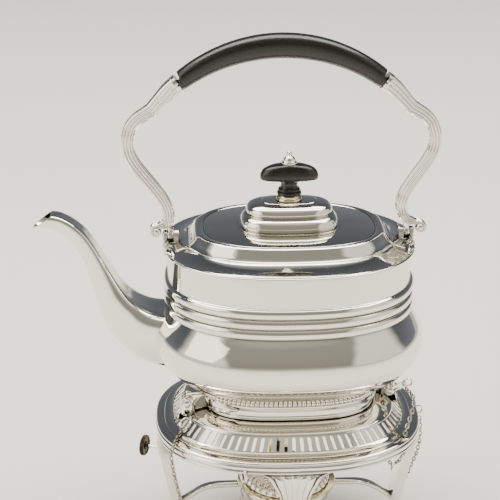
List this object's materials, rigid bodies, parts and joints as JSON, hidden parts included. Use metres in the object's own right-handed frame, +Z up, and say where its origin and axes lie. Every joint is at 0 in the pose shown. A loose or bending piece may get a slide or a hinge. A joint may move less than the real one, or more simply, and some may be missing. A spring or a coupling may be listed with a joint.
{
  "type": "spirit kettle on stand",
  "caption": "Polished metal hot-water kettle with a swan-neck spout and hinged lid, tilting on a four-legged stand with a spirit burner.",
  "frame": {"origin": "middle of the bottom of the whole object's box, on the table", "axes": "+Z up, spout toward -X, front toward -Y"},
  "size_m": [0.2734, 0.18, 0.3598],
  "materials": {
    "silver": "polished silver",
    "ebony": "satin ebony",
    "cotton": "woven cotton",
    "dark_metal": "darkened metal"
  },
  "bodies": {
    "stand": {"stand_rim": "silver", "gallery": "silver", "stand_bracket_left": "silver", "stand_bracket_right": "silver", "chain_left": "silver", "chain_right": "silver", "chain_staple_left": "silver", "chain_staple_right": "silver", "leg_right": "silver", "leg_back": "silver", "leg_left": "silver", "leg_front": "silver", "foot_right": "silver", "foot_back": "silver", "foot_left": "silver", "foot_front": "silver", "burner_frame": "silver"},
    "kettle": {"kettle_body": "silver", "kettle_shoulder": "silver", "reeded_girdle": "silver", "gadroon_band": "silver", "foot_ring": "silver", "spout": "silver", "body_hinge_leaf": "silver", "lid_hinge_pin": "silver", "handle_lug_left": "silver", "handle_lug_right": "silver", "handle_pivot_left": "silver", "handle_pivot_right": "silver", "kettle_lug_left": "silver", "kettle_lug_right": "silver"},
    "lid": {"lid_plate": "silver", "lid_dome": "silver", "lid_hinge_leaf": "silver", "finial_collar": "silver", "finial_stem": "ebony", "finial_button": "ebony", "finial_cap": "silver", "finial_bolt": "silver", "finial_nut": "silver"},
    "handle": {"handle_arm_left": "silver", "handle_arm_right": "silver", "handle_grip": "ebony", "grip_dowel_left": "silver", "grip_dowel_right": "silver"},
    "left_pin": {"hinge_pin_left": "silver", "pin_ring_left": "silver"},
    "right_pin": {"hinge_pin_right": "silver", "pin_ring_right": "silver"},
    "burner": {"reservoir": "silver", "burner_top": "silver", "wick_tube": "silver"},
    "wick": {"wick": "cotton"},
    "winder": {"winder_spindle": "silver", "winder_wheel": "dark_metal"}
  },
  "joints": [
    {"name": "kettle_tilt", "type": "hinge", "parent": "stand", "child": "kettle", "pos_m": [-0.0373, 0, 0.112], "axis": [0, -1, 0], "range_deg": [0, 40]},
    {"name": "lid_hinge", "type": "hinge", "parent": "kettle", "child": "lid", "pos_m": [0.0327, 0.0448, 0.2337], "axis": [-1, 0, 0], "range_deg": [0, 95]},
    {"name": "handle_swing", "type": "hinge", "parent": "kettle", "child": "handle", "pos_m": [0.0327, 0, 0.2244], "axis": [1, 0, 0], "range_deg": [-58, 58]},
    {"name": "left_pin_slide", "type": "slide", "parent": "stand", "child": "left_pin", "axis": [0, -1, 0], "range_m": [0, 0.009]},
    {"name": "right_pin_slide", "type": "slide", "parent": "stand", "child": "right_pin", "axis": [0, -1, 0], "range_m": [-0.0076, 0.008]},
    {"name": "burner_lift", "type": "slide", "parent": "stand", "child": "burner", "axis": [0, 0, 1], "range_m": [0, 0.012]},
    {"name": "winder_turn", "type": "hinge", "parent": "burner", "child": "winder", "pos_m": [0.0304, -0.00597, 0.05], "axis": [0.933, -0.3599, 0], "range_deg": [-170, 170]},
    {"name": "wick_lift", "type": "slide", "parent": "burner", "child": "wick", "axis": [0, 0, 1], "range_m": [-0.0059, 0.0059]}
  ],
  "couplings": [
    {"joint": "winder_turn", "follows": "wick_lift", "rad_per_m": 500}
  ]
}
